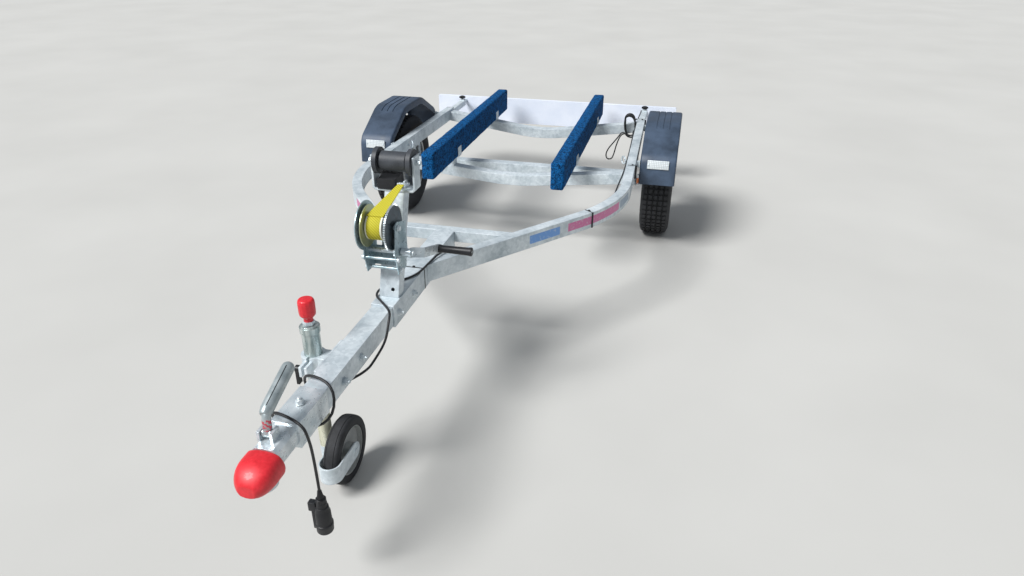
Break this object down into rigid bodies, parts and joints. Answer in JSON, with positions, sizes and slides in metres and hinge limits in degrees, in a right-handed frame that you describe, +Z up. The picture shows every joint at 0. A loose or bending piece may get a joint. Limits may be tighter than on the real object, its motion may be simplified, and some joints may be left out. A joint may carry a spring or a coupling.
{
  "type": "boat trailer",
  "caption": "Galvanised boat trailer for a personal watercraft, parked on its road wheels and a jockey wheel, with winch, bow roller, bunks and light board.",
  "frame": {"origin": "on the ground, below the middle of the trailer's overall length, on its middle plane", "axes": "+Z up, -Y towards the coupling at the nose, +X across, towards the side the winch crank is on"},
  "size_m": [1.552, 3.405, 0.878],
  "materials": {
    "galvanised": "dull hot-dip galvanised",
    "zinc": "bright zinc plate",
    "wheel_paint": "silver paint",
    "cast": "grey casting",
    "tread_rubber": "black tyre rubber",
    "black_rubber": "moulded rubber",
    "carpet": "blue marine carpet",
    "webbing": "woven yellow webbing",
    "guard_plastic": "moulded plastic",
    "black_plastic": "moulded plastic",
    "red_plastic": "soft red vinyl",
    "white_board": "white moulding",
    "lamp_red": "clear red lens",
    "amber": "amber lens",
    "reflector_white": "prismatic reflector",
    "plate_blank": "blank plate",
    "cable_sheath": "flexible cable sheath",
    "light_grey_plastic": "grey nylon"
  },
  "bodies": {
    "chassis": {"drawbar_outer": "galvanised", "drawbar_inner": "galvanised", "rail_right": "galvanised", "rail_left": "galvanised", "rail_caps": "black_plastic", "front_crossbar": "galvanised", "front_bunk_member": "galvanised", "rear_bunk_member": "galvanised", "bunk_saddles": "galvanised", "bunk_left": "carpet", "bunk_right": "carpet", "axle_beam": "galvanised", "axle_brackets": "galvanised", "swing_arms": "galvanised", "mudguard_left": "guard_plastic", "mudguard_right": "guard_plastic", "mudguard_stays": "galvanised", "front_reflectors": "reflector_white", "side_markers": "amber", "winch_post": "galvanised", "roller_yoke": "galvanised", "bow_stop": "black_rubber", "winch_frame": "zinc", "strap_tail": "webbing", "strap_ring": "zinc", "coupling_body": "zinc", "coupling_cover": "red_plastic", "jockey_clamp": "galvanised", "clamp_toggle": "black_plastic", "light_board": "white_board", "board_arms": "galvanised", "board_knobs": "black_plastic", "tail_lamps": "lamp_red", "number_plate": "plate_blank", "cable_rail": "cable_sheath", "cable_front": "cable_sheath", "cable_rear": "cable_sheath", "plug": "black_plastic"},
    "wheel_left": {"tyre_left": "tread_rubber", "rim_left": "wheel_paint", "hub_left": "cast"},
    "wheel_right": {"tyre_right": "tread_rubber", "rim_right": "wheel_paint", "hub_right": "cast"},
    "bow_roller": {"bow_roller": "black_rubber"},
    "winch_drum": {"winch_drum": "zinc", "strap_roll": "webbing"},
    "winch_crank": {"winch_crank": "zinc", "crank_grip": "black_plastic"},
    "coupling_lever": {"coupling_lever": "zinc"},
    "jockey_tube": {"jockey_tube": "zinc", "jockey_knob": "red_plastic"},
    "jockey_leg": {"jockey_leg": "zinc"},
    "jockey_fork": {"jockey_fork": "zinc"},
    "jockey_wheel": {"jockey_rim": "light_grey_plastic", "jockey_tyre": "black_rubber"}
  },
  "joints": [
    {"name": "left_wheel_spin", "type": "hinge", "parent": "chassis", "child": "wheel_left", "pos_m": [-0.695, 0.9075, 0.254], "axis": [1, 0, 0], "continuous": true},
    {"name": "right_wheel_spin", "type": "hinge", "parent": "chassis", "child": "wheel_right", "pos_m": [0.695, 0.9075, 0.254], "axis": [1, 0, 0], "continuous": true},
    {"name": "bow_roller_spin", "type": "hinge", "parent": "chassis", "child": "bow_roller", "pos_m": [0, -0.8175, 0.84], "axis": [1, 0, 0], "continuous": true},
    {"name": "drum_spin", "type": "hinge", "parent": "chassis", "child": "winch_drum", "pos_m": [0, -0.9485, 0.693], "axis": [1, 0, 0], "continuous": true},
    {"name": "crank_spin", "type": "hinge", "parent": "chassis", "child": "winch_crank", "pos_m": [0, -0.93849, 0.61665], "axis": [1, 0, 0], "continuous": true},
    {"name": "coupling_lever_lift", "type": "hinge", "parent": "chassis", "child": "coupling_lever", "pos_m": [-0.008, -1.5865, 0.474], "axis": [1, 0, 0], "range_deg": [0, 55]},
    {"name": "jockey_tube_slide", "type": "slide", "parent": "chassis", "child": "jockey_tube", "axis": [0, 0, 1], "range_m": [-0.055, 0.055]},
    {"name": "jockey_leg_slide", "type": "slide", "parent": "jockey_tube", "child": "jockey_leg", "axis": [0, 0, 1], "range_m": [-0.035, 0.095]},
    {"name": "jockey_swivel", "type": "hinge", "parent": "jockey_leg", "child": "jockey_fork", "pos_m": [-0.107, -1.2075, 0.15], "axis": [0, 0, 1], "continuous": true},
    {"name": "jockey_wheel_spin", "type": "hinge", "parent": "jockey_fork", "child": "jockey_wheel", "pos_m": [-0.0555, -1.2005, 0.1], "axis": [1, 0, 0], "continuous": true}
  ],
  "couplings": [
    {"joint": "crank_spin", "follows": "drum_spin", "ratio": -4.9231}
  ]
}
